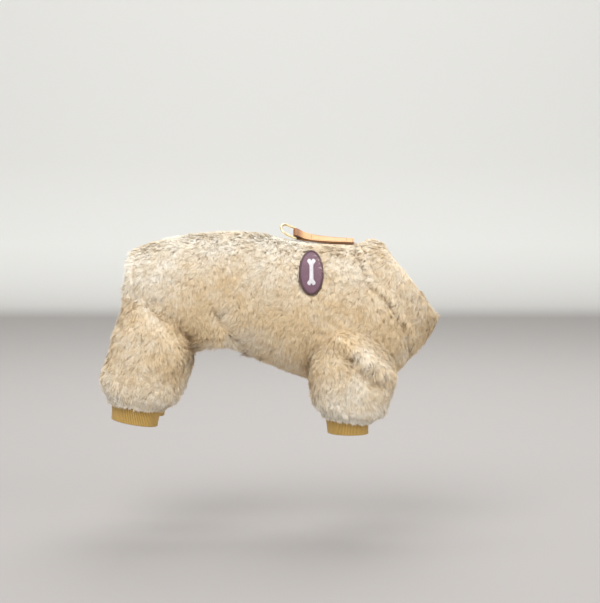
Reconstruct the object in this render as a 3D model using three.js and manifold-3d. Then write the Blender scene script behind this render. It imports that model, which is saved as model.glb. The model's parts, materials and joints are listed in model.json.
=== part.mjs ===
// A dog's four-legged plush jumpsuit, in the shape that it has when it is worn: millimetres, +Z up,
// +X towards the dog's head and -Y towards its right side. The origin is on the inside of the back,
// where the suit sits on the dog.
import * as THREE from "three";
import Module from "manifold-3d";

const wasm = await Module();
wasm.setup();

// Trunk, over the pile
const TRUNK_LENGTH = 264; // from the tail rim to the collar's edge, along the back
const TRUNK_DEPTH = 166; // from the highest point of the back to the lowest point of the chest
const TRUNK_WIDTH = 120;
const FLEECE_THICKNESS = 7; // backing and standing pile
const COLLAR_THICKNESS = 8;
const COLLAR_PUFF = 2; // how far the middle of the collar stands out
const HEM_WIDTH = 10;
const HEM_ROLL = 1.2; // how far the middle of the tail hem stands out
const ORIGIN_SHARE = 0.5; // where along the trunk the origin is

// Openings under the tail and belly
const BELLY_CUT_LENGTH = 59;
const BELLY_CUT_HEIGHT = 40;
const GROIN_CUT_WIDTH = 46;

// Legs
const HIND_LEG_LENGTH = 125; // from its root in the hip to the edge of the plush
const HIND_LEG_WIDTH = 89; // front to back
const HIND_LEG_THICKNESS = 66; // side to side
const FRONT_LEG_LENGTH = 108;
const FRONT_LEG_WIDTH = 92;
const FRONT_LEG_THICKNESS = 67;
const LEG_RIM_THICKNESS = 3; // where the plush is gathered in to the cuff

// Knitted cuffs
const CUFF_THICKNESS = 2.6;
const CUFF_TUCK = 5; // how much of a cuff is hidden inside the leg
const CUFF_WAIST = 0.4; // how far the knit pulls in between its edges
const HIND_CUFF_WIDTH = 53.5;
const HIND_CUFF_DEPTH = 45;
const HIND_CUFF_HEIGHT = 19; // what shows under the plush
const FRONT_CUFF_WIDTH = 47;
const FRONT_CUFF_DEPTH = 41;
const FRONT_CUFF_HEIGHT = 15.5;

// Oval badge on the right side, and the bone raised on it
const BADGE_WIDTH = 26;
const BADGE_HEIGHT = 51; // along the cloth
const BADGE_THICKNESS = 2;
const BADGE_SINK = 1.2; // how deep it is pressed into the pile
const BONE_LENGTH = 30;
const BONE_WIDTH = 5;
const BONE_THICKNESS = 0.8;

// Leash tab, a leather strap doubled round the ring's bar, and the ring
const TAB_LENGTH = 62; // from its front end to the ring's bar
const TAB_WIDTH = 13;
const TAB_THICKNESS = 3;
const TAB_ROLL = THREE.MathUtils.degToRad(38); // how far its ring end is turned to the right side
const RING_WIRE = 2.6;
const RING_LENGTH = 18; // from the bar to the far end, between the middles of the wire
const RING_ANGLE = THREE.MathUtils.degToRad(28); // above the tab's own plane
const RING_PLAY = 0.4; // round the ring's bar and beside the tab

const SEAM_GAP = 0.3; // between sewn pieces
const PAST_THE_EDGE = 0.4; // how far a hollow runs past a rim, in rows of the trunk's table

// Trunk sections from tail to neck, each an oval that stands between a point on the back line and
// one on the belly line. Along: shares of TRUNK_LENGTH from the tail. Down: shares of TRUNK_DEPTH
// from the highest point of the back. Wide: shares of TRUNK_WIDTH.
const TRUNK = [
  { name: "tail rim", backAlong: 0, backDown: 0.158, bellyAlong: -0.032, bellyDown: 0.627, wide: 0.67 },
  { name: "rump", backAlong: 0.028, backDown: 0.101, bellyAlong: 0.02, bellyDown: 0.715, wide: 0.79 },
  { name: "hip", backAlong: 0.124, backDown: 0.051, bellyAlong: 0.116, bellyDown: 0.759, wide: 0.89 },
  { name: "loin", backAlong: 0.235, backDown: 0.016, bellyAlong: 0.235, bellyDown: 0.785, wide: 0.88 },
  { name: "flank", backAlong: 0.343, backDown: 0, bellyAlong: 0.355, bellyDown: 0.804, wide: 0.85 },
  { name: "waist", backAlong: 0.442, backDown: 0, bellyAlong: 0.462, bellyDown: 0.791, wide: 0.87 },
  { name: "last ribs", backAlong: 0.546, backDown: 0.013, bellyAlong: 0.562, bellyDown: 0.848, wide: 0.93 },
  { name: "ribs", backAlong: 0.641, backDown: 0.044, bellyAlong: 0.665, bellyDown: 0.911, wide: 0.98 },
  { name: "heart", backAlong: 0.729, backDown: 0.063, bellyAlong: 0.761, bellyDown: 0.968, wide: 1 },
  { name: "withers", backAlong: 0.801, backDown: 0.07, bellyAlong: 0.861, bellyDown: 1, wide: 1 },
  { name: "brisket", backAlong: 0.857, backDown: 0.073, bellyAlong: 0.968, bellyDown: 0.987, wide: 0.965 },
  { name: "breast", backAlong: 0.896, backDown: 0.076, bellyAlong: 1.064, bellyDown: 0.911, wide: 0.9 },
  { name: "neck seam", backAlong: 0.928, backDown: 0.076, bellyAlong: 1.143, bellyDown: 0.778, wide: 0.825 },
  { name: "neck edge", backAlong: 1, backDown: 0.051, bellyAlong: 1.243, bellyDown: 0.551, wide: 0.767 },
];
const rowNamed = (name) => TRUNK.findIndex((row) => row.name === name);
const NECK_SEAM = rowNamed("neck seam");
const NECK_EDGE = rowNamed("neck edge");
const RIBS = rowNamed("ribs");

// Leg sections from the root to the plush's edge. Down: shares of the leg's length. Forward: shares
// of its width. Out: shares of TRUNK_WIDTH / 2 from the middle. Wide and thick: shares of the leg's
// own width and thickness. Tilt: degrees, front edge down.
const HIND_LEG = [
  { down: 0, forward: 0, out: 0.467, wide: 0.47, thick: 0.39, tilt: 0 },
  { down: 0.168, forward: 0.012, out: 0.53, wide: 0.635, thick: 0.73, tilt: 0 },
  { down: 0.361, forward: 0.018, out: 0.6, wide: 0.847, thick: 0.94, tilt: 0 },
  { down: 0.546, forward: 0.024, out: 0.625, wide: 0.988, thick: 1, tilt: 0 },
  { down: 0.689, forward: -0.035, out: 0.635, wide: 0.995, thick: 1, tilt: 4 },
  { down: 0.815, forward: -0.092, out: 0.64, wide: 0.97, thick: 0.99, tilt: 7 },
  { down: 0.908, forward: -0.106, out: 0.64, wide: 0.906, thick: 0.95, tilt: 10 },
  { down: 0.955, forward: -0.132, out: 0.64, wide: 0.79, thick: 0.86, tilt: 11 },
];
const FRONT_LEG = [
  { down: 0, forward: 0, out: 0.533, wide: 0.457, thick: 0.42, tilt: 0 },
  { down: 0.195, forward: 0.023, out: 0.61, wide: 0.73, thick: 0.79, tilt: 0 },
  { down: 0.39, forward: 0.057, out: 0.65, wide: 0.937, thick: 0.96, tilt: 0 },
  { down: 0.615, forward: 0.069, out: 0.665, wide: 1, thick: 1, tilt: 2 },
  { down: 0.79, forward: 0.049, out: 0.665, wide: 0.914, thick: 0.97, tilt: 6 },
  { down: 0.907, forward: 0.046, out: 0.665, wide: 0.834, thick: 0.92, tilt: 8 },
  { down: 0.95, forward: 0.034, out: 0.665, wide: 0.7, thick: 0.81, tilt: 9 },
];

// Folds and ridges seen from the side, on both sides. Along and down: shares of TRUNK_LENGTH and
// TRUNK_DEPTH, as in TRUNK. Rise: a share of FLEECE_THICKNESS, below 0 for a crease. Spread: half
// of its breadth, a share of TRUNK_DEPTH.
const FOLDS = [
  { name: "thigh crease", fromAlong: 0.1, fromDown: 0.46, toAlong: 0.262, toDown: 0.665, rise: -0.57, spread: 0.042 },
  { name: "groin crease", fromAlong: 0.262, fromDown: 0.665, toAlong: 0.245, toDown: 0.8, rise: -0.5, spread: 0.036 },
  { name: "flank crease", fromAlong: 0.355, fromDown: 0.5, toAlong: 0.46, toDown: 0.74, rise: -0.57, spread: 0.036 },
  { name: "shoulder ridge", fromAlong: 0.83, fromDown: 0.63, toAlong: 1.02, toDown: 0.87, rise: 0.57, spread: 0.054 },
  { name: "elbow crease", fromAlong: 0.85, fromDown: 0.75, toAlong: 0.985, toDown: 0.94, rise: -0.57, spread: 0.036 },
  { name: "hock ridge", fromAlong: -0.02, fromDown: 0.72, toAlong: 0.12, toDown: 0.85, rise: 0.36, spread: 0.054 },
  { name: "knee crease", fromAlong: 0.12, fromDown: 0.8, toAlong: 0.2, toDown: 0.97, rise: -0.43, spread: 0.036 },
];

// Places on the trunk, in the same shares
const BELLY_CUT = { along: 0.3586, down: 0.839 };
const GROIN_CUT_TOP = 0.6;
const CLEAR_BEHIND = -0.3; // clear of the cloth, where cuts begin and end
const CLEAR_BELOW = 1.2;
const BADGE_PLACE = { along: 0.725, down: 0.247 };
const TAB_FRONT = 0.9;

// Fineness
const TRUNK_AROUND = 38;
const TRUNK_STEPS = 20;
const COLLAR_STEPS = 4;
const HEM_STEPS = 3;
const LINING_AROUND = 24;
const LINING_STEPS = 12;
const LEG_AROUND = 20; // cuffs too, so that they lie evenly in the legs' rims
const STEPS_A_ROW = 2; // of a leg's outside
const CUT_AROUND = 28;
const BADGE_STEPS = 12;
const BONE_STEPS = 4;
const TAB_STEPS = 8;
const EYE_SIDES = 14;
const WIRE_SIDES = 8;
const OVAL_POWER = 0.92; // below 1, so the ovals are a little fuller than ellipses

const halfWidth = TRUNK_WIDTH / 2;
const trunkX = (along) => (along - ORIGIN_SHARE) * TRUNK_LENGTH;
const trunkZ = (down) => FLEECE_THICKNESS - down * TRUNK_DEPTH; // the highest point is over the origin

const trunkRows = TRUNK.map((row) => ({
  backX: trunkX(row.backAlong),
  backZ: trunkZ(row.backDown),
  bellyX: trunkX(row.bellyAlong),
  bellyZ: trunkZ(row.bellyDown),
  wide: row.wide * halfWidth,
}));

const mixRows = (a, b, share) =>
  Object.fromEntries(Object.keys(a).map((key) => [key, THREE.MathUtils.lerp(a[key], b[key], share)]));

// A row of a table at a place between its rows, on a smooth curve through them. Past an end the
// values go on straight.
function rowAt(rows, place) {
  const last = rows.length - 1;
  if (place < 0) return mixRows(rows[0], rows[1], place);
  if (place > last) return mixRows(rows[last - 1], rows[last], place - last + 1);
  const from = Math.min(Math.floor(place), last - 1);
  const s = place - from;
  const before = from > 0 ? rows[from - 1] : mixRows(rows[0], rows[1], -1);
  const after = from + 2 <= last ? rows[from + 2] : mixRows(rows[last - 1], rows[last], 2);
  const smooth = (p, q, r, t) =>
    q + 0.5 * s * (r - p + s * (2 * p - 5 * q + 4 * r - t + s * (3 * (q - r) + t - p)));
  const [b, c] = [rows[from], rows[from + 1]];
  return Object.fromEntries(Object.keys(b).map((key) => [key, smooth(before[key], b[key], c[key], after[key])]));
}

const fuller = (value) => Math.sign(value) * Math.abs(value) ** OVAL_POWER;

// How far the folds lift the cloth at a place seen from the side.
function foldRise(x, z) {
  let rise = 0;
  for (const fold of FOLDS) {
    const from = new THREE.Vector2(trunkX(fold.fromAlong), trunkZ(fold.fromDown));
    const to = new THREE.Vector2(trunkX(fold.toAlong), trunkZ(fold.toDown));
    const here = new THREE.Vector2(x, z).sub(from);
    const run = to.sub(from);
    const share = THREE.MathUtils.clamp(here.dot(run) / run.lengthSq(), 0, 1);
    const distance = here.addScaledVector(run, -share).length();
    const spread = fold.spread * TRUNK_DEPTH;
    rise += fold.rise * FLEECE_THICKNESS * Math.exp(-((distance / spread) ** 2));
  }
  return rise;
}

// A point of the trunk. Angle 0 is the back line, and a quarter turn is the left side.
function trunkPoint(place, angle, inset = 0, puff = 0) {
  const row = rowAt(trunkRows, place);
  const back = new THREE.Vector3(row.backX, 0, row.backZ);
  const belly = new THREE.Vector3(row.bellyX, 0, row.bellyZ);
  const up = back.clone().sub(belly);
  const high = up.length() / 2 - inset + puff;
  const wide = row.wide - inset + puff;
  up.normalize();
  const point = back.add(belly).multiplyScalar(0.5);
  point.addScaledVector(up, high * fuller(Math.cos(angle)));
  const side = fuller(Math.sin(angle));
  point.y += side * (wide + Math.abs(side) * foldRise(point.x, point.z));
  return point;
}

// The place in the trunk's table where a value that rises from tail to neck passes 0.
function placeWhere(valueAt) {
  let low = 0;
  let high = NECK_EDGE;
  for (let halving = 0; halving < 40; halving++) {
    const middle = (low + high) / 2;
    if (valueAt(middle) < 0) low = middle;
    else high = middle;
  }
  return low;
}

// The height of the back line at x.
function backAt(x) {
  return rowAt(trunkRows, placeWhere((place) => rowAt(trunkRows, place).backX - x)).backZ;
}

// How far the trunk's side lies from the middle, at a place seen from the side.
function sideAt(x, z) {
  const upShare = (row) => (z - row.bellyZ) / (row.backZ - row.bellyZ);
  const place = placeWhere((at) => {
    const row = rowAt(trunkRows, at);
    return THREE.MathUtils.lerp(row.bellyX, row.backX, upShare(row)) - x;
  });
  const row = rowAt(trunkRows, place);
  const cosine = Math.abs(2 * upShare(row) - 1) ** (1 / OVAL_POWER);
  const side = fuller(Math.sqrt(Math.max(1 - cosine ** 2, 0)));
  return side * (row.wide + side * foldRise(x, z));
}

const ring = (count, pointAt) =>
  Array.from({ length: count }, (_, i) => pointAt((i / count) * 2 * Math.PI));

// The faces between rings of the same number of points. Round: the last ring joins the first.
function stripFaces(rings, round) {
  const around = rings[0].length;
  const faces = [];
  for (let row = 0; row < rings.length - (round ? 0 : 1); row++) {
    const here = row * around;
    const above = ((row + 1) % rings.length) * around;
    for (let i = 0; i < around; i++) {
      const next = (i + 1) % around;
      faces.push(here + i, here + next, above + next, here + i, above + next, above + i);
    }
  }
  return faces;
}

// A closed solid through rings, with a flat fan over each end.
function loft(rings) {
  const around = rings[0].length;
  const middle = (points) =>
    points.reduce((sum, p) => sum.add(p), new THREE.Vector3()).divideScalar(points.length);
  const points = [...rings.flat(), middle(rings[0]), middle(rings.at(-1))];
  const firstCap = points.length - 2;
  const lastCap = points.length - 1;
  const lastRing = (rings.length - 1) * around;
  const faces = stripFaces(rings, false);
  for (let i = 0; i < around; i++) {
    const next = (i + 1) % around;
    faces.push(firstCap, next, i, lastCap, lastRing + i, lastRing + next);
  }
  return facingOut(points, faces);
}

// A closed solid through rings whose last one joins the first, such as a cuff's two walls.
const roundLoft = (rings) => facingOut(rings.flat(), stripFaces(rings, true));

// A manifold-3d solid from points and triangles, turned so that its faces point out.
function facingOut(points, faces) {
  const solid = solidFrom(points, faces);
  if (solid.volume() > 0) return solid;
  const turned = [];
  for (let i = 0; i < faces.length; i += 3) turned.push(faces[i], faces[i + 2], faces[i + 1]);
  return solidFrom(points, turned);
}

function solidFrom(points, faces) {
  const vertProperties = new Float32Array(points.flatMap((p) => [p.x, p.y, p.z]));
  return new wasm.Manifold(new wasm.Mesh({ numProp: 3, vertProperties, triVerts: new Uint32Array(faces) }));
}

// The biggest body of a solid, without the slivers that a cut can leave.
function biggestBody(solid) {
  return solid.decompose().reduce((a, b) => (b.volume() > a.volume() ? b : a));
}

// Rings of the trunk from one place in its table to another.
function trunkRings(from, to, steps, around, inset, puffAt = () => 0) {
  return Array.from({ length: steps + 1 }, (_, i) => {
    const place = THREE.MathUtils.lerp(from, to, i / steps);
    return ring(around, (angle) => trunkPoint(place, angle, inset, puffAt(i / steps)));
  });
}

// Legs. The four differ only in their sizes, their table and their side of the dog. Root and rim:
// where the table's ends are. Cuff forward: how far its lower edge is moved, as a share of the leg's
// width. Cuff taper: its lower edge to its upper one. Cuff tilt: degrees.
const HIND = {
  table: HIND_LEG,
  rootAlong: 0.084,
  rootDown: 0.329,
  length: HIND_LEG_LENGTH,
  width: HIND_LEG_WIDTH,
  thickness: HIND_LEG_THICKNESS,
  rimForward: -0.153,
  cuffWidth: HIND_CUFF_WIDTH,
  cuffDepth: HIND_CUFF_DEPTH,
  cuffHeight: HIND_CUFF_HEIGHT,
  cuffForward: -0.03,
  cuffTaper: 0.92,
  cuffTilt: 10,
};
const FRONT = {
  table: FRONT_LEG,
  rootAlong: 0.861,
  rootDown: 0.519,
  length: FRONT_LEG_LENGTH,
  width: FRONT_LEG_WIDTH,
  thickness: FRONT_LEG_THICKNESS,
  rimForward: 0.017,
  cuffWidth: FRONT_CUFF_WIDTH,
  cuffDepth: FRONT_CUFF_DEPTH,
  cuffHeight: FRONT_CUFF_HEIGHT,
  cuffForward: 0.012,
  cuffTaper: 0.92,
  cuffTilt: 1,
};
const legPlaces = [
  { name: "front_leg_right", cuff: "front_cuff_right", leg: FRONT, side: -1 },
  { name: "front_leg_left", cuff: "front_cuff_left", leg: FRONT, side: 1 },
  { name: "hind_leg_right", cuff: "hind_cuff_right", leg: HIND, side: -1 },
  { name: "hind_leg_left", cuff: "hind_cuff_left", leg: HIND, side: 1 },
];

// The sections of a leg's outside, or of its hollow where inset is more than 0, down to its rim.
function legSections(leg, inset, grow = 0) {
  const sections = leg.table.map((row) => ({
    x: trunkX(leg.rootAlong) + row.forward * leg.width,
    y: row.out * halfWidth,
    z: trunkZ(leg.rootDown) - row.down * leg.length,
    wide: Math.max((row.wide * leg.width) / 2 - inset, leg.cuffWidth / 2 + SEAM_GAP) + grow,
    thick: Math.max((row.thick * leg.thickness) / 2 - inset, leg.cuffDepth / 2 + SEAM_GAP) + grow,
    tilt: THREE.MathUtils.degToRad(row.tilt),
    loose: row === leg.table.at(-1) ? 0 : 1, // folds end at the cuff
  }));
  // The root lies inside the trunk's hollow, so it keeps its own small size.
  const root = leg.table[0];
  sections[0].wide = (root.wide * leg.width) / 2 - inset + grow;
  sections[0].thick = (root.thick * leg.thickness) / 2 - inset / 2 + grow;
  const last = sections.at(-1);
  const rimWall = inset > 0 ? 0 : LEG_RIM_THICKNESS;
  sections.push({
    x: trunkX(leg.rootAlong) + leg.rimForward * leg.width,
    y: last.y,
    z: trunkZ(leg.rootDown) - leg.length,
    wide: leg.cuffWidth / 2 + SEAM_GAP + rimWall + grow,
    thick: leg.cuffDepth / 2 + SEAM_GAP + rimWall + grow,
    tilt: last.tilt,
    loose: 0,
  });
  return sections;
}

// A section's oval, on the dog's right side where side is -1.
function sectionRing(section, side) {
  return ring(LEG_AROUND, (angle) => {
    const forward = section.wide * fuller(Math.cos(angle));
    const out = fuller(Math.sin(angle));
    const point = new THREE.Vector3(
      section.x + forward * Math.cos(section.tilt),
      section.y + out * section.thick,
      section.z - forward * Math.sin(section.tilt),
    );
    point.y += Math.max(out, 0) * section.loose * foldRise(point.x, point.z);
    point.y *= side;
    return point;
  });
}

function legOutside(leg, side, grow = 0) {
  const sections = legSections(leg, 0, grow);
  const count = (sections.length - 1) * STEPS_A_ROW;
  const smooth = Array.from({ length: count + 1 }, (_, i) => rowAt(sections, i / STEPS_A_ROW));
  return loft(smooth.map((section) => sectionRing(section, side)));
}

function legHollow(leg, side) {
  const sections = legSections(leg, FLEECE_THICKNESS);
  const rim = sections.at(-1);
  sections.push({ ...rim, z: rim.z - leg.cuffHeight }); // out past the rim
  return loft(sections.map((section) => sectionRing(section, side)));
}

function legPiece(leg, side) {
  return biggestBody(legOutside(leg, side).subtract(legHollow(leg, side)).subtract(trunkHollow));
}

function cuff(leg, side) {
  const [aboveRim, rim] = legSections(leg, FLEECE_THICKNESS).slice(-2);
  const edge = { wide: leg.cuffWidth / 2, thick: leg.cuffDepth / 2 };
  const seam = { ...rim, ...edge };
  const top = { ...mixRows(rim, aboveRim, CUFF_TUCK / (aboveRim.z - rim.z)), ...edge };
  const bottom = {
    ...seam,
    x: rim.x + leg.cuffForward * leg.width,
    z: rim.z - leg.cuffHeight,
    wide: seam.wide * leg.cuffTaper,
    thick: seam.thick * leg.cuffTaper,
    tilt: THREE.MathUtils.degToRad(leg.cuffTilt),
  };
  const thinner = (section, by) => ({ ...section, wide: section.wide - by, thick: section.thick - by });
  const outside = [top, seam, thinner(mixRows(seam, bottom, 0.5), CUFF_WAIST), bottom];
  const inside = [bottom, seam, top].map((section) => thinner(section, CUFF_THICKNESS));
  return roundLoft([...outside, ...inside].map((section) => sectionRing(section, side)));
}

// Trunk pieces, cut from one shell
const trunkHollow = loft(
  trunkRings(-PAST_THE_EDGE, NECK_EDGE + PAST_THE_EDGE, LINING_STEPS, LINING_AROUND, FLEECE_THICKNESS),
);

// An oval bar across the dog, which cuts the arch in the belly's rear.
function bellyCutter(grow) {
  const oval = (y) =>
    ring(CUT_AROUND, (angle) => {
      const x = trunkX(BELLY_CUT.along) + (BELLY_CUT_LENGTH / 2 + grow) * Math.cos(angle);
      const z = trunkZ(BELLY_CUT.down) + (BELLY_CUT_HEIGHT / 2 + grow) * Math.sin(angle);
      return new THREE.Vector3(x, y, z);
    });
  return loft([oval(-TRUNK_WIDTH), oval(TRUNK_WIDTH)]);
}

// A round-topped bar from behind the tail rim to the belly cut, between the hind legs.
function groinCutter() {
  const half = GROIN_CUT_WIDTH / 2;
  const low = trunkZ(CLEAR_BELOW);
  const springing = trunkZ(GROIN_CUT_TOP) - half;
  const steps = CUT_AROUND / 2;
  const arch = (x) => {
    const points = [new THREE.Vector3(x, half, low), new THREE.Vector3(x, -half, low)];
    for (let i = 0; i <= steps; i++) {
      const angle = Math.PI - (i / steps) * Math.PI;
      points.push(new THREE.Vector3(x, half * Math.cos(angle), springing + half * Math.sin(angle)));
    }
    return points;
  };
  return loft([arch(trunkX(CLEAR_BEHIND)), arch(trunkX(BELLY_CUT.along))]);
}

// A length near a place of the trunk's table, in rows of the table.
function rowsOf(length, place) {
  const onSide = (at) => trunkPoint(at, Math.PI / 2);
  const step = 0.1;
  return (step * length) / onSide(place + step).distanceTo(onSide(place));
}
const hemEnd = rowsOf(HEM_WIDTH, 0);

// A stretch of the trunk's shell without the legs' holes and the groin.
function shellPart(outside, cutter) {
  const shell = cutter(outside.subtract(trunkHollow)).subtract(groinCutter());
  const opened = legPlaces.reduce(
    (left, place) => left.subtract(legOutside(place.leg, place.side, SEAM_GAP)),
    shell,
  );
  return biggestBody(opened);
}

function bodyShell() {
  const from = hemEnd + rowsOf(SEAM_GAP, hemEnd);
  const to = NECK_SEAM - rowsOf(SEAM_GAP, NECK_SEAM - 1);
  const outside = loft(trunkRings(from, to, TRUNK_STEPS, TRUNK_AROUND, 0));
  const shell = shellPart(outside, (cloth) => cloth.subtract(bellyCutter(HEM_WIDTH + SEAM_GAP)));
  return shell.subtract(badge(SEAM_GAP));
}

function rearHem() {
  const roll = (share) => HEM_ROLL * Math.sin(Math.PI * share);
  const outside = loft(trunkRings(0, hemEnd, HEM_STEPS, TRUNK_AROUND, 0, roll));
  return shellPart(outside, (cloth) => cloth.subtract(bellyCutter(HEM_WIDTH)));
}

function bellyHem() {
  const outside = loft(trunkRings(hemEnd, RIBS, TRUNK_STEPS / 2, TRUNK_AROUND, 0));
  return shellPart(outside, (cloth) => cloth.intersect(bellyCutter(HEM_WIDTH)).subtract(bellyCutter(0)));
}

// The stand-up collar, from the neck seam to its edge, outside and back inside.
function collar() {
  const puff = (share) => COLLAR_PUFF * Math.sin(Math.PI * share) ** 0.7;
  const outside = trunkRings(NECK_SEAM, NECK_EDGE, COLLAR_STEPS, TRUNK_AROUND, 0, puff);
  const inside = trunkRings(NECK_EDGE, NECK_SEAM, COLLAR_STEPS - 1, TRUNK_AROUND, COLLAR_THICKNESS);
  return roundLoft([...outside, ...inside]);
}

// A point over the right side of the trunk: u forward and v up along the cloth from the badge's
// middle, and lift away from the cloth.
const badgeX = trunkX(BADGE_PLACE.along);
const badgeZ = trunkZ(BADGE_PLACE.down);
const NEAR = 2; // the distance over which the cloth's slope is measured
const slopeAt = (x, z) => ({
  x: (sideAt(x + NEAR, z) - sideAt(x - NEAR, z)) / (2 * NEAR),
  z: (sideAt(x, z + NEAR) - sideAt(x, z - NEAR)) / (2 * NEAR),
});
const badgeUpright = 1 / Math.hypot(1, slopeAt(badgeX, badgeZ).z); // height gained along the cloth
function overBadge(u, v, lift) {
  const x = badgeX + u;
  const z = badgeZ + v * badgeUpright;
  const slope = slopeAt(x, z);
  const away = new THREE.Vector3(-slope.x, -1, -slope.z).normalize();
  return new THREE.Vector3(x, -sideAt(x, z), z).addScaledVector(away, lift);
}

// A flat shape over the badge's place, given by its half width at a number of heights.
function plate(strips, low, high) {
  const rings = strips.map(({ middle = 0, height, half }) => [
    overBadge(middle - half, height, low),
    overBadge(middle + half, height, low),
    overBadge(middle + half, height, high),
    overBadge(middle, height, high),
    overBadge(middle - half, height, high),
  ]);
  return loft(rings);
}

// Strips of an oval, without its two end points.
function ovalStrips(halfLong, halfWide, steps, middle = 0, centre = 0) {
  return Array.from({ length: steps }, (_, i) => {
    const angle = ((i + 0.5) / steps) * Math.PI;
    return { middle, height: centre - halfLong * Math.cos(angle), half: halfWide * Math.sin(angle) };
  });
}

function badge(grow) {
  const strips = ovalStrips(BADGE_HEIGHT / 2 + grow, BADGE_WIDTH / 2 + grow, BADGE_STEPS);
  const base = SEAM_GAP - BADGE_SINK - grow;
  return plate(strips, base, base + BADGE_THICKNESS + 2 * grow);
}

// A bar with two round knobs at each end.
function bone() {
  const base = 2 * SEAM_GAP - BADGE_SINK + BADGE_THICKNESS;
  const knob = BONE_WIDTH * 0.56;
  const reach = BONE_LENGTH / 2 - knob;
  const bar = Array.from({ length: BONE_STEPS + 1 }, (_, i) => ({
    height: THREE.MathUtils.lerp(-reach, reach, i / BONE_STEPS),
    half: BONE_WIDTH / 3,
  }));
  const parts = [plate(bar, base, base + BONE_THICKNESS)];
  for (const end of [-1, 1]) {
    for (const side of [-1, 1]) {
      const strips = ovalStrips(knob, knob, BONE_STEPS, side * knob * 0.8, end * reach);
      parts.push(plate(strips, base, base + BONE_THICKNESS));
    }
  }
  return parts.reduce((a, b) => a.add(b));
}

// Leash tab. Across: the direction of the ring's bar. Away: square to the tab's ring end.
const across = new THREE.Vector3(0, Math.cos(TAB_ROLL), Math.sin(TAB_ROLL));
const away = new THREE.Vector3(0, -Math.sin(TAB_ROLL), Math.cos(TAB_ROLL));
const eyeRadius = RING_WIRE / 2 + RING_PLAY + TAB_THICKNESS / 2;
const eyeX = trunkX(TAB_FRONT) - TAB_LENGTH;

// The middle of the tab where it has come this share of the way to the ring.
function tabMiddle(share, thickness) {
  const x = trunkX(TAB_FRONT) - share * TAB_LENGTH;
  const roll = share ** 2 * TAB_ROLL;
  const rise = (TAB_WIDTH / 2) * Math.sin(roll) + (thickness / 2) * Math.cos(roll);
  return { point: new THREE.Vector3(x, 0, backAt(x) + SEAM_GAP + rise), roll };
}
const eye = tabMiddle(1, 2 * eyeRadius).point;

function leashTab() {
  const rings = Array.from({ length: TAB_STEPS + 1 }, (_, i) => {
    const share = i / TAB_STEPS;
    const toEye = THREE.MathUtils.smoothstep(share, 1 - 2 / TAB_STEPS, 1);
    const thickness = THREE.MathUtils.lerp(TAB_THICKNESS, 2 * eyeRadius, toEye);
    const { point, roll } = tabMiddle(share, thickness);
    const [cos, sin] = [Math.cos(roll), Math.sin(roll)];
    return [[-1, -1], [1, -1], [1, 1], [-1, 1]].map(([side, up]) => {
      const [w, t] = [(side * TAB_WIDTH) / 2, (up * thickness) / 2];
      return point.clone().add(new THREE.Vector3(0, w * cos - t * sin, w * sin + t * cos));
    });
  });
  return loft(rings)
    .add(barAcross(eyeRadius, TAB_WIDTH / 2))
    .subtract(barAcross(RING_WIRE / 2 + RING_PLAY, TAB_WIDTH));
}

// A round bar along the ring's axis.
function barAcross(radius, half) {
  const forward = new THREE.Vector3(1, 0, 0);
  const end = (reach) =>
    ring(EYE_SIDES, (angle) =>
      eye
        .clone()
        .addScaledVector(across, reach)
        .addScaledVector(forward, radius * Math.cos(angle))
        .addScaledVector(away, radius * Math.sin(angle)),
    );
  return loft([end(-half), end(half)]);
}

// The D ring: a straight bar, two arms and half a circle, as a closed line that a wire follows.
function dRing() {
  const half = TAB_WIDTH / 2 + RING_PLAY + RING_WIRE / 2;
  const corner = RING_PLAY + RING_WIRE / 2;
  const arc = (x, y, radius, from, to, steps) =>
    Array.from({ length: steps + 1 }, (_, i) => {
      const angle = THREE.MathUtils.lerp(from, to, i / steps) * Math.PI;
      return new THREE.Vector2(x + radius * Math.cos(angle), y + radius * Math.sin(angle));
    });
  const line = [
    ...arc(half - corner, corner, corner, -0.5, 0, 3),
    ...arc(0, RING_LENGTH - half, half, 0, 1, 10),
    ...arc(corner - half, corner, corner, 1, 1.5, 3),
  ];
  const out = new THREE.Vector3(-1, 0, 0)
    .multiplyScalar(Math.cos(RING_ANGLE))
    .addScaledVector(away, Math.sin(RING_ANGLE));
  const normal = across.clone().cross(out);
  return roundLoft(
    line.map((point, i) => {
      const run = line[(i + 1) % line.length].clone().sub(line.at(i - 1)).normalize();
      return ring(WIRE_SIDES, (angle) => {
        const outward = (RING_WIRE / 2) * Math.cos(angle);
        return eye
          .clone()
          .addScaledVector(across, point.x + run.y * outward)
          .addScaledVector(out, point.y - run.x * outward)
          .addScaledVector(normal, (RING_WIRE / 2) * Math.sin(angle));
      });
    }),
  );
}

function material(color, roughness, metalness = 0) {
  return new THREE.MeshStandardMaterial({ color, roughness, metalness });
}
const plush = material(0xd9bd8e, 1);
const ribKnit = material(0xb08f4a, 0.9);

const pieces = [
  { name: "body_shell", solid: bodyShell(), finish: plush },
  { name: "collar", solid: collar(), finish: plush },
  { name: "rear_hem", solid: rearHem(), finish: plush },
  { name: "belly_hem", solid: bellyHem(), finish: plush },
  ...legPlaces.flatMap(({ name, cuff: cuffName, leg, side }) => [
    { name, solid: legPiece(leg, side), finish: plush },
    { name: cuffName, solid: cuff(leg, side), finish: ribKnit },
  ]),
  { name: "badge", solid: badge(0), finish: material(0x8a6a78, 0.85) },
  { name: "badge_bone", solid: bone(), finish: material(0xf4f0ec, 0.8) },
  { name: "leash_tab", solid: leashTab(), finish: material(0xc98d55, 0.55) },
  { name: "d_ring", solid: dRing(), finish: material(0xcdb88a, 0.3, 1) },
];

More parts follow.
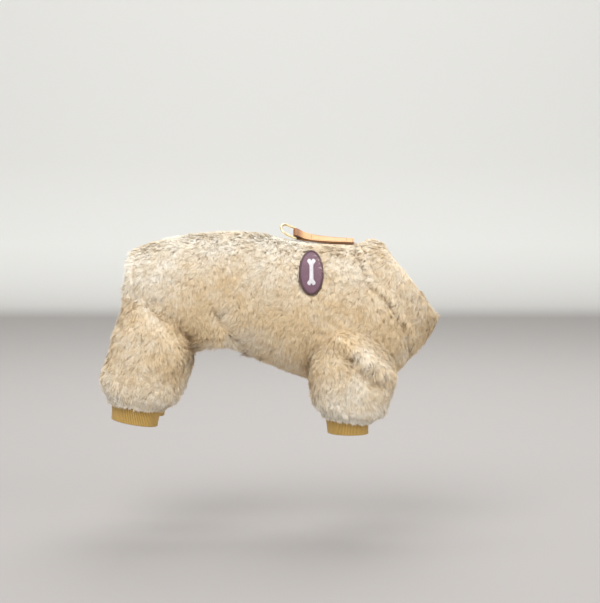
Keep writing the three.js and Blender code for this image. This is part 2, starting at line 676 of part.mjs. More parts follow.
function geometryOf(solid) {
  const { numVert, numProp, vertProperties, triVerts } = solid.getMesh();
  const positions = [];
  for (let i = 0; i < numVert; i++) {
    positions.push(...vertProperties.slice(i * numProp, i * numProp + 3));
  }
  const geometry = new THREE.BufferGeometry();
  geometry.setAttribute("position", new THREE.Float32BufferAttribute(positions, 3));
  geometry.setIndex([...triVerts]);
  geometry.computeVertexNormals();
  return geometry;
}

const suit = new THREE.Group();
suit.name = "dog_jumpsuit";
for (const { name, solid, finish } of pieces) {
  const mesh = new THREE.Mesh(geometryOf(solid), finish);
  mesh.name = name;
  suit.add(mesh);
}

export default suit;
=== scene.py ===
import json
import math

import bpy
import numpy as np
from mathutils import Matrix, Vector


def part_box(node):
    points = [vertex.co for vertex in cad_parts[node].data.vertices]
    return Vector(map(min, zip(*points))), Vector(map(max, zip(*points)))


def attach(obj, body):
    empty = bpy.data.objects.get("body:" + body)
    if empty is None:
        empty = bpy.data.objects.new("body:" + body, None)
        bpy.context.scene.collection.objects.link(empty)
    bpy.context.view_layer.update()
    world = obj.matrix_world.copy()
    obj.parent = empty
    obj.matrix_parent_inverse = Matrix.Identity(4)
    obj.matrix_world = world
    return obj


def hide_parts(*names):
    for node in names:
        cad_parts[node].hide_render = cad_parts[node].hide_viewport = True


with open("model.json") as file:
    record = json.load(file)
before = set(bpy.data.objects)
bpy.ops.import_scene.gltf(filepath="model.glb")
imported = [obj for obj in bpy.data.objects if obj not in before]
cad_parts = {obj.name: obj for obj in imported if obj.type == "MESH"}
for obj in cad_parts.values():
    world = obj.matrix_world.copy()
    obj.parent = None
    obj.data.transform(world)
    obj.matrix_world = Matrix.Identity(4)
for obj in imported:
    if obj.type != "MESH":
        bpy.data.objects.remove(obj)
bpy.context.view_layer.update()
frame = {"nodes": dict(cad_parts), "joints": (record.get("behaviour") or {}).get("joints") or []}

bl_info = {
    "name": "Plush Dog Jumpsuit",
    "version": (1, 0, 0),
    "blender": (4, 5, 0),
    "location": "View3D > Sidebar > Jumpsuit",
    "description": "Dresses a dog's plush jumpsuit: pile, rib cuffs, badge, leash tab and ring",
    "category": "Add Mesh",
}

MM = 0.001
SIDES = {"right": -1, "left": 1}
HINGE = frame["joints"][0]


# Sizes and colours


def colour(name, description, default):
    """A colour setting without alpha."""
    return bpy.props.FloatVectorProperty(
        name=name, description=description, subtype="COLOR", size=3, min=0, max=1, default=default
    )


def length(name, description, default):
    """A length setting in metres."""
    return bpy.props.FloatProperty(
        name=name, description=description, unit="LENGTH", default=default, precision=5
    )


def share(name, description, default):
    """A setting from 0 to 1."""
    return bpy.props.FloatProperty(
        name=name, description=description, subtype="FACTOR", min=0, max=1, default=default
    )


class PlushSettings(bpy.types.PropertyGroup):
    """The long-pile fleece."""

    seed: bpy.props.IntProperty(name="Seed", description="Seed of the pile's random numbers", default=7)
    density: bpy.props.FloatProperty(
        name="Density", description="Strands on a square millimetre", default=1.9
    )
    pile: length("Pile", "Depth of the standing pile", 2.2 * MM)
    strand: length("Strand", "Length of the part of a strand that lies over", 4.8 * MM)
    width: length("Width", "Width of a strand", 0.74 * MM)
    tuft: length("Tuft", "Spacing of the tufts that strands gather in", 3.1 * MM)
    gather: share("Gather", "How far the strands' tips draw together in a tuft", 0.38)
    spread: bpy.props.FloatProperty(
        name="Spread", description="How far strands turn from the pile's direction", default=0.45
    )
    tip: colour("Tip", "Colour of the strands' tips", (0.83, 0.67, 0.44))
    # Darker than the tips: painted shade deep in the pile
    root: colour("Root", "Colour at the strands' roots", (0.79, 0.61, 0.38))
    pale: colour("Pale", "Colour of the paler patches", (0.92, 0.87, 0.77))
    lining: colour("Lining", "Colour of the knitted back of the fleece", (0.62, 0.46, 0.27))


class KnitSettings(bpy.types.PropertyGroup):
    """The rib cuffs."""

    yarn: colour("Yarn", "Colour of the yarn", (0.60, 0.38, 0.105))
    # Darker than the yarn: painted shade in the grooves between the ribs
    groove_shade: colour("Groove", "Colour between the ribs", (0.31, 0.19, 0.045))
    ribs: bpy.props.IntProperty(name="Ribs", description="Ribs round a cuff", default=84)
    depth: length("Depth", "Depth of the grooves between the ribs", 0.32 * MM)


class BadgeSettings(bpy.types.PropertyGroup):
    """The embroidered badge."""

    field: colour("Field", "Colour of the filled oval", (0.25, 0.125, 0.175))
    border: colour("Border", "Colour of the overlocked edge", (0.12, 0.052, 0.06))
    thread: colour("Thread", "Colour of the raised bone", (0.95, 0.93, 0.93))


class TabSettings(bpy.types.PropertyGroup):
    """The leather leash tab and its ring."""

    leather: colour("Leather", "Colour of the leather's face", (0.72, 0.41, 0.18))
    edge: colour("Edge", "Colour of the leather's cut edges", (0.12, 0.055, 0.025))
    stitch: colour("Stitch", "Colour of the stitches", (0.10, 0.05, 0.03))
    metal: colour("Metal", "Colour of the ring", (0.83, 0.70, 0.45))
    layer: length("Layer", "Thickness of one layer of leather", 1.4 * MM)
    wire: length("Wire", "Diameter of the ring's wire", 2.6 * MM)
    ring: length("Ring", "Length of the ring, between the middles of its wire", 18 * MM)


class StageSettings(bpy.types.PropertyGroup):
    """Floor, light and camera."""

    floor: colour("Floor", "Colour of the floor", (0.385, 0.366, 0.355))
    wall: colour("Wall", "Colour of the wall", (0.90, 0.905, 0.88))
    drop: length("Drop", "Height of the suit's origin above the floor", 0.32)
    distance: length("Distance", "From the camera to the suit", 1.575)
    lens: bpy.props.FloatProperty(name="Lens", description="Focal length", default=87.9)
    elevation: bpy.props.FloatProperty(
        name="Elevation",
        description="Angle of the camera above the suit",
        default=math.radians(4),
        unit="ROTATION",
    )
    key: bpy.props.FloatProperty(name="Key", description="Power of the large light", default=38)


# Meshes from arrays


def grid_faces(rows, columns, round_rows=False, round_columns=True):
    """The quads between neighbours of a grid of points, as rows of four numbers. A round grid's
    last row or column also joins its first."""
    row = np.arange(rows if round_rows else rows - 1)[:, None]
    column = np.arange(columns if round_columns else columns - 1)[None, :]
    next_row = (row + 1) % rows
    next_column = (column + 1) % columns
    corners = [row * columns + column, row * columns + next_column]
    corners += [next_row * columns + next_column, next_row * columns + column]
    return np.stack(corners, axis=-1).reshape(-1, 4)


def closed_ends(points):
    """Faces of a tube of rings with a fan over each end: the grid's quads, and triangles from each
    end ring to its middle, which is added to the points."""
    rings, around = points.shape[:2]
    flat = np.concatenate([points.reshape(-1, 3), points[0].mean(0)[None], points[-1].mean(0)[None]])
    here = np.arange(around)
    after = (here + 1) % around
    first = np.stack([after, here, np.full(around, rings * around)], axis=-1)
    start = (rings - 1) * around
    last = np.stack([start + here, start + after, np.full(around, rings * around + 1)], axis=-1)
    return flat, [grid_faces(rings, around), first, last]


def new_mesh(name, points, face_sets, attributes=None, smooth=True):
    """A mesh object of the given points and face arrays, with values for each point."""
    points = np.asarray(points, float).reshape(-1, 3)
    faces = sum((faces.tolist() for faces in face_sets), [])
    mesh = bpy.data.meshes.new(name)
    mesh.from_pydata(points.tolist(), [], faces)
    mesh.polygons.foreach_set("use_smooth", np.full(len(mesh.polygons), smooth))
    for key, values in (attributes or {}).items():
        layer = mesh.attributes.new(key, "FLOAT", "POINT")
        layer.data.foreach_set("value", np.asarray(values, np.float32).ravel())
    mesh.update()
    made = bpy.data.objects.new(name, mesh)
    bpy.context.scene.collection.objects.link(made)
    return made


def outward(points, face_sets):
    """The same faces, turned round where the body that they close has a negative volume."""
    quads = np.concatenate([faces[:, [0, 1, 2]] for faces in face_sets])
    quads = np.concatenate([quads] + [faces[:, [0, 2, 3]] for faces in face_sets if faces.shape[1] == 4])
    a, b, c = (np.asarray(points).reshape(-1, 3)[quads[:, i]] for i in range(3))
    volume = np.einsum("ij,ij->i", a, np.cross(b, c)).sum()
    return face_sets if volume > 0 else [faces[:, ::-1] for faces in face_sets]


def finish_piece(piece, body, slot, material, *nodes):
    """Gives a finished piece its material and its body, and hides the CAD nodes that it stands for. Its slot
    is not used.
    """
    if material is not None:
        piece.data.materials.append(material)
    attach(piece, body)
    if nodes:
        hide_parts(*nodes)
    return piece


# The CAD nodes as arrays


def merged_node(node):
    """The corners and triangles of a CAD node, with its doubled vertices merged."""
    mesh = frame["nodes"][node].data
    mesh.calc_loop_triangles()
    points = np.empty(len(mesh.vertices) * 3)
    mesh.vertices.foreach_get("co", points)
    corners = np.empty(len(mesh.loop_triangles) * 3, int)
    mesh.loop_triangles.foreach_get("vertices", corners)
    places, where = np.unique(np.round(points.reshape(-1, 3), 6), axis=0, return_inverse=True)
    faces = where.ravel()[corners].reshape(-1, 3)
    thin = (faces[:, 0] == faces[:, 1]) | (faces[:, 1] == faces[:, 2]) | (faces[:, 2] == faces[:, 0])
    return places, faces[~thin]


def face_crosses(points, faces):
    """Each triangle's normal, as long as twice its area."""
    a, b, c = (points[faces[:, i]] for i in range(3))
    return np.cross(b - a, c - a)


def unit(vectors):
    """Vectors along the last axis, made one long."""
    return vectors / np.maximum(np.linalg.norm(vectors, axis=-1, keepdims=True), 1e-12)


def vertex_normals(points, faces):
    """Each corner's normal: the sum of the normals of its triangles, by their areas."""
    crosses = face_crosses(points, faces)
    total = np.zeros_like(points)
    for corner in range(3):
        np.add.at(total, faces[:, corner], crosses)
    return unit(total)


# Middle lines of the soft parts, in metres; a leg's y is that of the left side
TRUNK_LINE = np.array(
    [[-0.14, 0, -0.052], [-0.06, 0, -0.06], [0.03, 0, -0.066], [0.11, 0, -0.08], [0.165, 0, -0.052]]
)
FRONT_LEG_LINE = np.array([[0.096, 0.034, -0.08], [0.101, 0.04, -0.13], [0.097, 0.04, -0.2]])
HIND_LEG_LINE = np.array([[-0.109, 0.03, -0.05], [-0.108, 0.037, -0.115], [-0.125, 0.0385, -0.19]])


def away_from_line(points, line):
    """The unit vector to each point from the nearest place on a line of straight stretches."""
    best = np.full(len(points), np.inf)
    found = np.zeros_like(points)
    for start, end in zip(line[:-1], line[1:]):
        run = end - start
        along = np.clip((points - start) @ run / (run @ run), 0, 1)
        offset = points - (start + along[:, None] * run)
        distance = np.linalg.norm(offset, axis=1)
        nearer = distance < best
        best[nearer] = distance[nearer]
        found[nearer] = offset[nearer]
    return unit(found)


# A triangle faces outwards above this cosine to its direction from the middle line, and a triangle
# is part of an edge between it and its negative
FACES_OUT = 0.3


class SoftPart:
    """A CAD node of plush: its arrays, which of its triangles face outwards, and its pile."""

    def __init__(self, node, line, flow, rim_height=None, rim_z=0.0):
        self.points, self.faces = merged_node(node)
        middles = self.points[self.faces].mean(axis=1)
        facing = unit(face_crosses(self.points, self.faces))
        outwards = np.einsum("ij,ij->i", facing, away_from_line(middles, line))
        self.outer = outwards > FACES_OUT
        self.edge = np.abs(outwards) <= FACES_OUT
        self.normals = vertex_normals(self.points, self.faces[self.outer])
        lone = np.linalg.norm(self.normals, axis=1) < 0.5
        self.normals[lone] = vertex_normals(self.points, self.faces)[lone]
        self.flow = np.array(flow, float)
        self.rim_height = rim_height
        self.rim_z = rim_z

    def pile_share(self, places):
        """How much of the full pile stands at each place: all of it, less near a leg's gathered rim."""
        if self.rim_height is None:
            return np.ones(len(places))
        above = np.clip((places[:, 2] - self.rim_z) / self.rim_height, 0, 1)
        return RIM_PILE + (1 - RIM_PILE) * above


# The way in which the pile of each kind of part lies
FLOWS = {
    "trunk": (-0.45, 0, -1),
    "collar": (-0.3, 0, -1),
    "front_leg": (0.12, 0, -1),
    "hind_leg": (-0.25, 0, -1),
}
RIM_RISE = 16 * MM  # how far above a leg's rim the pile is full
RIM_PILE = 0.35  # share of the full pile at the rim


def soft_part(node):
    """The SoftPart of a plush node, with its middle line, its pile's direction and its rim."""
    for kind, line in (("front_leg", FRONT_LEG_LINE), ("hind_leg", HIND_LEG_LINE)):
        if node.startswith(kind):
            side = SIDES[node.rsplit("_", 1)[1]]
            low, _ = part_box(node)
            return SoftPart(node, line * (1, side, 1), FLOWS[kind], RIM_RISE, low.z)
    return SoftPart(node, TRUNK_LINE, FLOWS["collar" if node == "collar" else "trunk"])


# Pile


def scatter(part, chosen, count, random):
    """Places spread evenly over the chosen triangles of a part, with their normals. A triangle is
    drawn with a chance in step with its area, and a place in it by folding a unit square over its
    diagonal."""
    faces = part.faces[chosen]
    areas = np.linalg.norm(face_crosses(part.points, faces), axis=1)
    drawn = faces[random.choice(len(faces), count, p=areas / areas.sum())]
    u, v = random.random((2, count))
    over = u + v > 1
    u[over], v[over] = 1 - u[over], 1 - v[over]
    shares = np.stack([1 - u - v, u, v], axis=-1)[..., None]
    return (part.points[drawn] * shares).sum(1), unit((part.normals[drawn] * shares).sum(1))


def tufts(places, spacing):
    """A number for each place's tuft: which cell of a skewed, waved block grid it lies in. Also each
    tuft's middle, the mean of its places."""
    waves = np.sin(places[:, [1, 2, 0]] / spacing * 0.9 + np.array([0.3, 1.1, 2.3]))
    waves += 0.6 * np.sin(places[:, [2, 0, 1]] / spacing * 0.37 + np.array([1.7, 0.2, 0.9]))
    skew = np.array([[1, 0.31, 0.17], [-0.28, 1, 0.36], [0.21, -0.33, 1]])
    cells = np.floor((places @ skew.T) / spacing + 0.45 * waves).astype(int)
    _, which = np.unique(cells, axis=0, return_inverse=True)
    which = which.ravel()
    counts = np.bincount(which)
    middles = np.stack([np.bincount(which, places[:, i]) / counts for i in range(3)], axis=-1)
    return which, middles


def strand_points(roots, normals, tangents, depths, lengths, widths, lifts, rolls, draws):
    """Strands as kites of four points. From its root a strand rises along its normal to a bend just
    under the surface, where it is widest, and then lies over along its tangent, at its lift, to a
    tip that is drawn towards its tuft's middle."""
    side = np.cross(tangents, normals)
    width = (np.cos(rolls)[:, None] * side + np.sin(rolls)[:, None] * normals) * widths[:, None] / 2
    bend = roots + 0.8 * depths[:, None] * normals + 0.5 * lengths[:, None] * tangents + 0.3 * draws
    tip = bend + 0.7 * draws
    tip += lengths[:, None] * (np.cos(lifts)[:, None] * tangents + np.sin(lifts)[:, None] * normals)
    return np.stack([roots, bend + width, tip, bend - width], axis=1)


def near_lines(places, lines):
    """For each place, seen from the side, the sum of each line's rise, fading as a bell curve with
    the distance from the line over its spread. A line is a rise, a spread and points of x and z."""
    total = np.zeros(len(places))
    for rise, spread, *corners in lines:
        corners = np.array(corners)
        nearest = np.full(len(places), np.inf)
        for start, end in zip(corners[:-1], corners[1:]):
            run = end - start
            offset = places[:, [0, 2]] - start
            along = np.clip(offset @ run / (run @ run), 0, 1)
            nearest = np.minimum(nearest, np.linalg.norm(offset - along[:, None] * run, axis=1))
        total += rise * np.exp(-((nearest / spread) ** 2))
    return total * np.clip((np.abs(places[:, 1]) - 0.012) / 0.015, 0, 1)


def slopes(places, lines):
    """The slope of near_lines along x and z, as vectors, from places a little to each side."""
    step = 0.5 * MM
    found = np.zeros_like(places)
    for axis in (0, 2):
        move = np.zeros(3)
        move[axis] = step
        found[:, axis] = (near_lines(places + move, lines) - near_lines(places - move, lines)) / (2 * step)
    return found


def paleness(places):
    """From 0 for the deep tan parts to 1 for the pale ones: the sum of round soft patches, some of
    them painted shade and painted highlight, and paler leg ends."""
    tone = 0.4 + 0.5 * np.clip((-0.135 - places[:, 2]) / 0.04, 0, 1)
    for x, z, radius, amount in TONES:
        far = ((places[:, 0] - x) ** 2 + (places[:, 2] - z) ** 2) / radius**2
        tone += amount * np.exp(-far)
    return np.clip(tone, 0, 1)


# Creases and ridges, seen from the side, in metres: rise, spread, then points of x and z. A crease's
# rise also darkens its strands' colour, a painted shade, and a ridge's rise lightens it, a painted
# highlight.
CREASES = (
    (-0.0036, 0.0055, (-0.103, -0.069), (-0.064, -0.103), (-0.067, -0.125)),
    (-0.0048, 0.0036, (-0.039, -0.072), (-0.024, -0.094), (-0.012, -0.116)),
    (-0.0042, 0.0042, (0.092, -0.113), (0.128, -0.149)),
    (0.0030, 0.0060, (0.088, -0.099), (0.142, -0.137)),
    (-0.0034, 0.0022, (0.105, -0.004), (0.121, -0.0445), (0.140, -0.062), (0.158, -0.090), (0.168, -0.122)),
    (0.0020, 0.0034, (0.110, -0.010), (0.126, -0.043), (0.145, -0.059), (0.163, -0.088), (0.173, -0.120)),
    (-0.0036, 0.0022, (-0.1225, 0.0), (-0.1235, -0.085)),
    (-0.0022, 0.0060, (0.057, -0.105), (0.055, -0.147)),
    (0.0012, 0.0120, (-0.110, -0.085), (-0.075, -0.118)),
)
# How much of a crease's depth the knitted back follows
CREASE_SHARE = 0.7
# Soft patches of paler and deeper colour: x, z and radius in metres, and how much paler. Some are
# painted shade and painted highlight, as marked
TONES = (
    (-0.034, -0.048, 0.040, -0.40),
    # Deeper in the thigh's crease: painted shade
    (-0.068, -0.090, 0.024, -0.45),
    (0.048, -0.100, 0.036, -0.30),
    (0.095, -0.074, 0.030, -0.25),
    (0.125, -0.085, 0.018, -0.25),
    # These four paler patches lie along the top of the back: partly the fleece's paler tone, partly painted
    # highlight where light falls from above
    (-0.057, -0.002, 0.045, 0.75),
    (0.027, -0.002, 0.038, 0.65),
    (-0.125, -0.026, 0.032, 0.45),
    (0.115, -0.020, 0.028, 0.25),
    # Deeper at the chest, which lies in shade: painted shade
    (0.174, -0.095, 0.030, -0.20),
    (-0.010, -0.112, 0.030, 0.25),
    # Paler on the shoulder's ridge: painted highlight
    (0.114, -0.114, 0.018, 0.35),
)


def pressed(places):
    """From 0 to 1, how flat the pile is pressed under the leash tab and its ring."""
    along = np.clip((places[:, 0] - 0.018) / 0.006, 0, 1) * np.clip((0.110 - places[:, 0]) / 0.006, 0, 1)
    across = np.clip((0.016 - np.abs(places[:, 1] + 0.001)) / 0.005, 0, 1)
    return along * across * (places[:, 2] > -0.03)


def pile_piece(name, part, plush, random, keep=None):
    """The pile of a part as one mesh of strands. Their roots lie at the pile's depth under the
    part's outer triangles and edges, and strands of a tuft share a direction and a tone. Strands in
    creases are painted darker, a painted shade, and strands on ridges lighter, a painted highlight."""
    chosen = part.outer | part.edge
    area = np.linalg.norm(face_crosses(part.points, part.faces[chosen]), axis=1).sum() / 2
    places, normals = scatter(part, chosen, int(area * plush.density / MM**2), random)
    if keep is not None:
        kept = keep(places)
        places, normals = places[kept], normals[kept]
    count = len(places)
    full = part.pile_share(places)
    rise = near_lines(places, CREASES)
    slope = slopes(places, CREASES)
    places = places + rise[:, None] * normals
    leaning = unit(normals - slope + np.einsum("ij,ij->i", slope, normals)[:, None] * normals)
    which, middles = tufts(places, plush.tuft)
    per_tuft = random.normal(size=(middles.shape[0], 4))[which]
    flow = part.flow - (normals @ part.flow)[:, None] * normals
    tangents = unit(flow)
    across = np.cross(normals, tangents)
    spin = plush.spread * (0.75 * per_tuft[:, 0] + 0.45 * random.normal(size=count))
    spin += 0.35 * np.sin(places[:, 0] * 95 + 2 * np.sin(places[:, 2] * 70))
    tangents = np.cos(spin)[:, None] * tangents + np.sin(spin)[:, None] * across
    depths = plush.pile * full
    draws = plush.gather * (middles[which] - places)
    uneven = np.clip(1 + 0.15 * per_tuft[:, 1] + 0.18 * random.normal(size=count), 0.4, 1.5)
    lengths = plush.strand * full * uneven
    flat = pressed(places)
    lengths *= 1 - 0.35 * flat
    widths = plush.width * random.uniform(0.65, 1.25, count)
    lifts = np.clip(11 + 9 * per_tuft[:, 2] + 6 * random.normal(size=count), -10, 36)
    lifts = np.radians(lifts * (1 - flat) - 14 * flat)
    rolls = np.radians(random.uniform(-22, 22, count))
    points = strand_points(
        places - depths[:, None] * normals, leaning, tangents, depths, lengths, widths, lifts, rolls, draws
    )
    values = {
        "along": np.tile([0.0, 0.5, 1.0, 0.5], count),
        # Tone of the tuft and of the strand, plus 110 times the rise: painted shade in creases and painted
        # highlight on ridges
        "tone_and_crease_shade": np.repeat(0.5 + 0.17 * per_tuft[:, 3] + 0.13 * random.normal(size=count) + 110 * rise, 4),
        "pale": np.repeat(paleness(places), 4),
    }
    faces = 4 * np.arange(count)[:, None] + np.arange(4)
    return new_mesh(name, points, [faces], values, smooth=False)


def backing_piece(name, part, plush):
    """The knitted back of the fleece: the CAD node with its outer points moved in by the pile. Its
    outer faces have the pile's colours near its roots, whose darker tan is painted shade deep in the
    pile, and its inner ones show the knit."""
    moved = part.points.copy()
    outer = np.unique(part.faces[part.outer])
    depth = 0.92 * plush.pile * part.pile_share(part.points)
    depth -= CREASE_SHARE * np.minimum(near_lines(part.points, CREASES), 0)
    moved[outer] -= depth[outer, None] * part.normals[outer]
    # Outer faces take a colour near the roots': painted shade deep in the pile
    values = {"along": np.full(len(moved), 0.3), "tone_and_crease_shade": np.full(len(moved), 0.45), "pale": paleness(moved)}
    backing = new_mesh(name, moved, [part.faces], values)
    backing.data.materials.append(lining_material(plush))
    backing.data.materials.append(pile_material(plush))
    backing.data.polygons.foreach_set("material_index", (part.outer | part.edge).astype(np.int32))
    return backing


# Materials


def new_material(name):
    """An empty node material with a Principled shader, its nodes and its links."""
    material = bpy.data.materials.new(name)
    material.use_nodes = True
    nodes, links = material.node_tree.nodes, material.node_tree.links
    return material, nodes, links, nodes["Principled BSDF"]


def ramp(nodes, links, factor, stops):
    """A colour ramp over the given stops of place and colour, fed by factor."""
    node = nodes.new("ShaderNodeValToRGB")
    elements = node.color_ramp.elements
    while len(elements) < len(stops):
        elements.new(0.5)
    for element, (place, rgb) in zip(elements, stops):
        element.position = place
        element.color = (*rgb, 1)
    links.new(factor, node.inputs["Fac"])
    return node.outputs["Color"]


def mixed(nodes, links, blend, factor, first, second):
    """The colour mix of two sockets or colours."""
    node = nodes.new("ShaderNodeMix")
    node.data_type = "RGBA"
    node.blend_type = blend
    for socket, value in ((node.inputs["Factor"], factor), (node.inputs[6], first), (node.inputs[7], second)):
        if isinstance(value, bpy.types.NodeSocket):
            links.new(value, socket)
        elif socket.type == "RGBA":
            socket.default_value = (*value, 1)
        else:
            socket.default_value = value
    return node.outputs[2]


def attribute(nodes, name):
    """The value of a mesh attribute."""
    node = nodes.new("ShaderNodeAttribute")
    node.attribute_name = name
    return node.outputs["Fac"]


def patch_group():
    """The node group that makes soft patches over the surface: a large and a small noise on Object
    coordinates, mixed and put out as a mask."""
    name = "soft patches"
    if name in bpy.data.node_groups:
        return bpy.data.node_groups[name]
    group = bpy.data.node_groups.new(name, "ShaderNodeTree")
    for socket, value in (("Large Scale", 22.0), ("Small Scale", 120.0), ("Small Share", 0.35)):
        made = group.interface.new_socket(socket, in_out="INPUT", socket_type="NodeSocketFloat")
        made.default_value = value
    group.interface.new_socket("Mask", in_out="OUTPUT", socket_type="NodeSocketFloat")
    nodes, links = group.nodes, group.links
    inside, out = nodes.new("NodeGroupInput"), nodes.new("NodeGroupOutput")
    places = nodes.new("ShaderNodeTexCoord")
    masks = []
    for scale in ("Large Scale", "Small Scale"):
        noise = nodes.new("ShaderNodeTexNoise")
        noise.inputs["Detail"].default_value = 3
        links.new(places.outputs["Object"], noise.inputs["Vector"])
        links.new(inside.outputs[scale], noise.inputs["Scale"])
        masks.append(noise.outputs["Fac"])
    mix = nodes.new("ShaderNodeMix")
    links.new(inside.outputs["Small Share"], mix.inputs["Factor"])
    links.new(masks[0], mix.inputs[2])
    links.new(masks[1], mix.inputs[3])
    links.new(mix.outputs[0], out.inputs["Mask"])
    return group


def patches(nodes, links, large, small, small_share):
    """The mask of the soft patches group at the given scales."""
    node = nodes.new("ShaderNodeGroup")
    node.node_tree = patch_group()
    node.inputs["Large Scale"].default_value = large
    node.inputs["Small Scale"].default_value = small
    node.inputs["Small Share"].default_value = small_share
    return node.outputs["Mask"]


def pile_material(plush):
    """Plush strands: darker at the root, a painted shade deep in the pile, and pale at the tip, with
    paler and darker tufts and patches. The tufts' tone also carries painted shade in creases and painted
    highlight on ridges, and some patches are painted shade and painted highlight.
    """
    if "plush pile" in bpy.data.materials:
        return bpy.data.materials["plush pile"]
    material, nodes, links, shader = new_material("plush pile")
    root, tip, pale = (tuple(value) for value in (plush.root, plush.tip, plush.pale))
    pale_root = tuple((low + high) / 2 for low, high in zip(root, pale))
    along = attribute(nodes, "along")
    # From the darker root, a painted shade deep in the pile, to the tip
    body = ramp(nodes, links, along, [(0, root), (0.6, tip), (1, tip)])
    light = ramp(nodes, links, along, [(0, pale_root), (0.55, pale), (1, pale)])
    mask = patches(nodes, links, 26, 130, 0.4)
    moved = nodes.new("ShaderNodeMath")
    moved.operation = "MULTIPLY_ADD"
    moved.inputs[1].default_value = 2.2
    links.new(mask, moved.inputs[0])
    links.new(attribute(nodes, "pale"), moved.inputs[2])
    share = nodes.new("ShaderNodeMapRange")
    share.inputs["From Min"].default_value = 1.2
    share.inputs["From Max"].default_value = 2.1
    links.new(moved.outputs[0], share.inputs["Value"])
    by_patch = mixed(nodes, links, "MIX", share.outputs[0], body, light)
    # Multiplies in the strands' tone: random tufts and flecks, with painted shade in creases and painted
    # highlight on ridges
    fleck_and_crease_stops = [(0.0, (0.80, 0.73, 0.63)), (0.5, (1, 1, 1)), (1, (1.1, 1.1, 1.1))]
    fleck_and_crease_shade = ramp(nodes, links, attribute(nodes, "tone_and_crease_shade"), fleck_and_crease_stops)
    links.new(mixed(nodes, links, "MULTIPLY", 1.0, by_patch, fleck_and_crease_shade), shader.inputs["Base Color"])
    shader.inputs["Roughness"].default_value = 0.85
    shader.inputs["Specular IOR Level"].default_value = 0.2
    shader.inputs["Sheen Weight"].default_value = 0.2
    shader.inputs["Sheen Roughness"].default_value = 0.5
    return material


def lining_material(plush):
    """The knitted back of the fleece, with a fine loop pattern."""
    if "fleece backing" in bpy.data.materials:
        return bpy.data.materials["fleece backing"]
    material, nodes, links, shader = new_material("fleece backing")
    places = nodes.new("ShaderNodeTexCoord")
    loops = nodes.new("ShaderNodeTexVoronoi")
    loops.inputs["Scale"].default_value = 900
    links.new(places.outputs["Object"], loops.inputs["Vector"])
    base = tuple(plush.lining)
    dark = tuple(0.62 * value for value in base)
    tone = ramp(nodes, links, loops.outputs["Distance"], [(0, base), (0.9, dark)])
    mask = patches(nodes, links, 30, 240, 0.5)
    wear = ramp(nodes, links, mask, [(0.3, (0.7, 0.68, 0.65)), (0.7, (1, 1, 1))])
    shaded = mixed(nodes, links, "MULTIPLY", 0.5, tone, wear)
    links.new(shaded, shader.inputs["Base Color"])
    bump = nodes.new("ShaderNodeBump")
    bump.inputs["Strength"].default_value = 0.6
    bump.inputs["Distance"].default_value = 0.4 * MM
    links.new(loops.outputs["Distance"], bump.inputs["Height"])
    links.new(bump.outputs["Normal"], shader.inputs["Normal"])
    shader.inputs["Roughness"].default_value = 0.95
    return material


# Operators


class SUIT_OT_body(bpy.types.Operator):
    """Makes the body panel: the fleece's back, and the pile of its right and left halves"""

    bl_idname = "suit.body"
    bl_label = "Body panel"

    def execute(self, context):
        plush = context.scene.suit_plush
        part = soft_part("body_shell")
        finish_piece(backing_piece("body_backing", part, plush), "suit", "plush", None, "body_shell")
        for side, sign in SIDES.items():
            random = np.random.default_rng(plush.seed + sign)

            def keep(places, sign=sign):
                return (places[:, 1] * sign > 0) & ~under_badge(places)

            pile = pile_piece(f"body_pile_{side}", part, plush, random, keep)
            finish_piece(pile, "suit", "plush", pile_material(plush))
        return {"FINISHED"}


class SUIT_OT_collar_and_hems(bpy.types.Operator):
    """Makes the stand-up collar and the hems of the tail and belly openings"""

    bl_idname = "suit.collar_and_hems"
    bl_label = "Collar and hems"

    def execute(self, context):
        plush = context.scene.suit_plush
        for number, node in enumerate(("collar", "rear_hem", "belly_hem")):
            part = soft_part(node)
            backing = backing_piece(f"{node}_backing", part, plush)
            finish_piece(backing, "suit", "plush", None, node)
            random = np.random.default_rng(plush.seed + 10 + number)
            pile = pile_piece(f"{node}_pile", part, plush, random)
            finish_piece(pile, "suit", "plush", pile_material(plush))
        return {"FINISHED"}


class SUIT_OT_legs(bpy.types.Operator):
    """Makes the four plush legs"""

    bl_idname = "suit.legs"
    bl_label = "Legs"

    def execute(self, context):
        plush = context.scene.suit_plush
        for end in ("front", "hind"):
            for side, sign in SIDES.items():
                node = f"{end}_leg_{side}"
                part = soft_part(node)
                backing = backing_piece(f"{node}_backing", part, plush)
                finish_piece(backing, "suit", "plush", None, node)
                random = np.random.default_rng(plush.seed + 20 + sign + (4 if end == "hind" else 0))
                pile = pile_piece(f"{node}_pile", part, plush, random)
                finish_piece(pile, "suit", "plush", pile_material(plush))
        return {"FINISHED"}


# The badge's surface: a height over its place, as a sum of six terms of x and z


def badge_surface():
    """The CAD badge's front as y = a + bx + cz + dx² + exz + fz², fitted to its front points by
    least squares, with the badge's middle and its half sizes."""
    points, faces = merged_node("badge")
    facing = unit(face_crosses(points, faces))
    front = points[np.unique(faces[facing[:, 1] < -0.5])]
    low, high = points.min(0), points.max(0)
    middle = (low + high) / 2
    x, z = front[:, 0] - middle[0], front[:, 2] - middle[2]
    terms = np.stack([np.ones_like(x), x, z, x * x, x * z, z * z], axis=-1)
    fit = np.linalg.lstsq(terms, front[:, 1], rcond=None)[0]
    return {"fit": fit, "middle": middle, "half": (high - low) / 2}


BADGE = badge_surface()
BADGE_REACH = 1.07  # how far out the badge keeps the pile down, as the square of its own oval


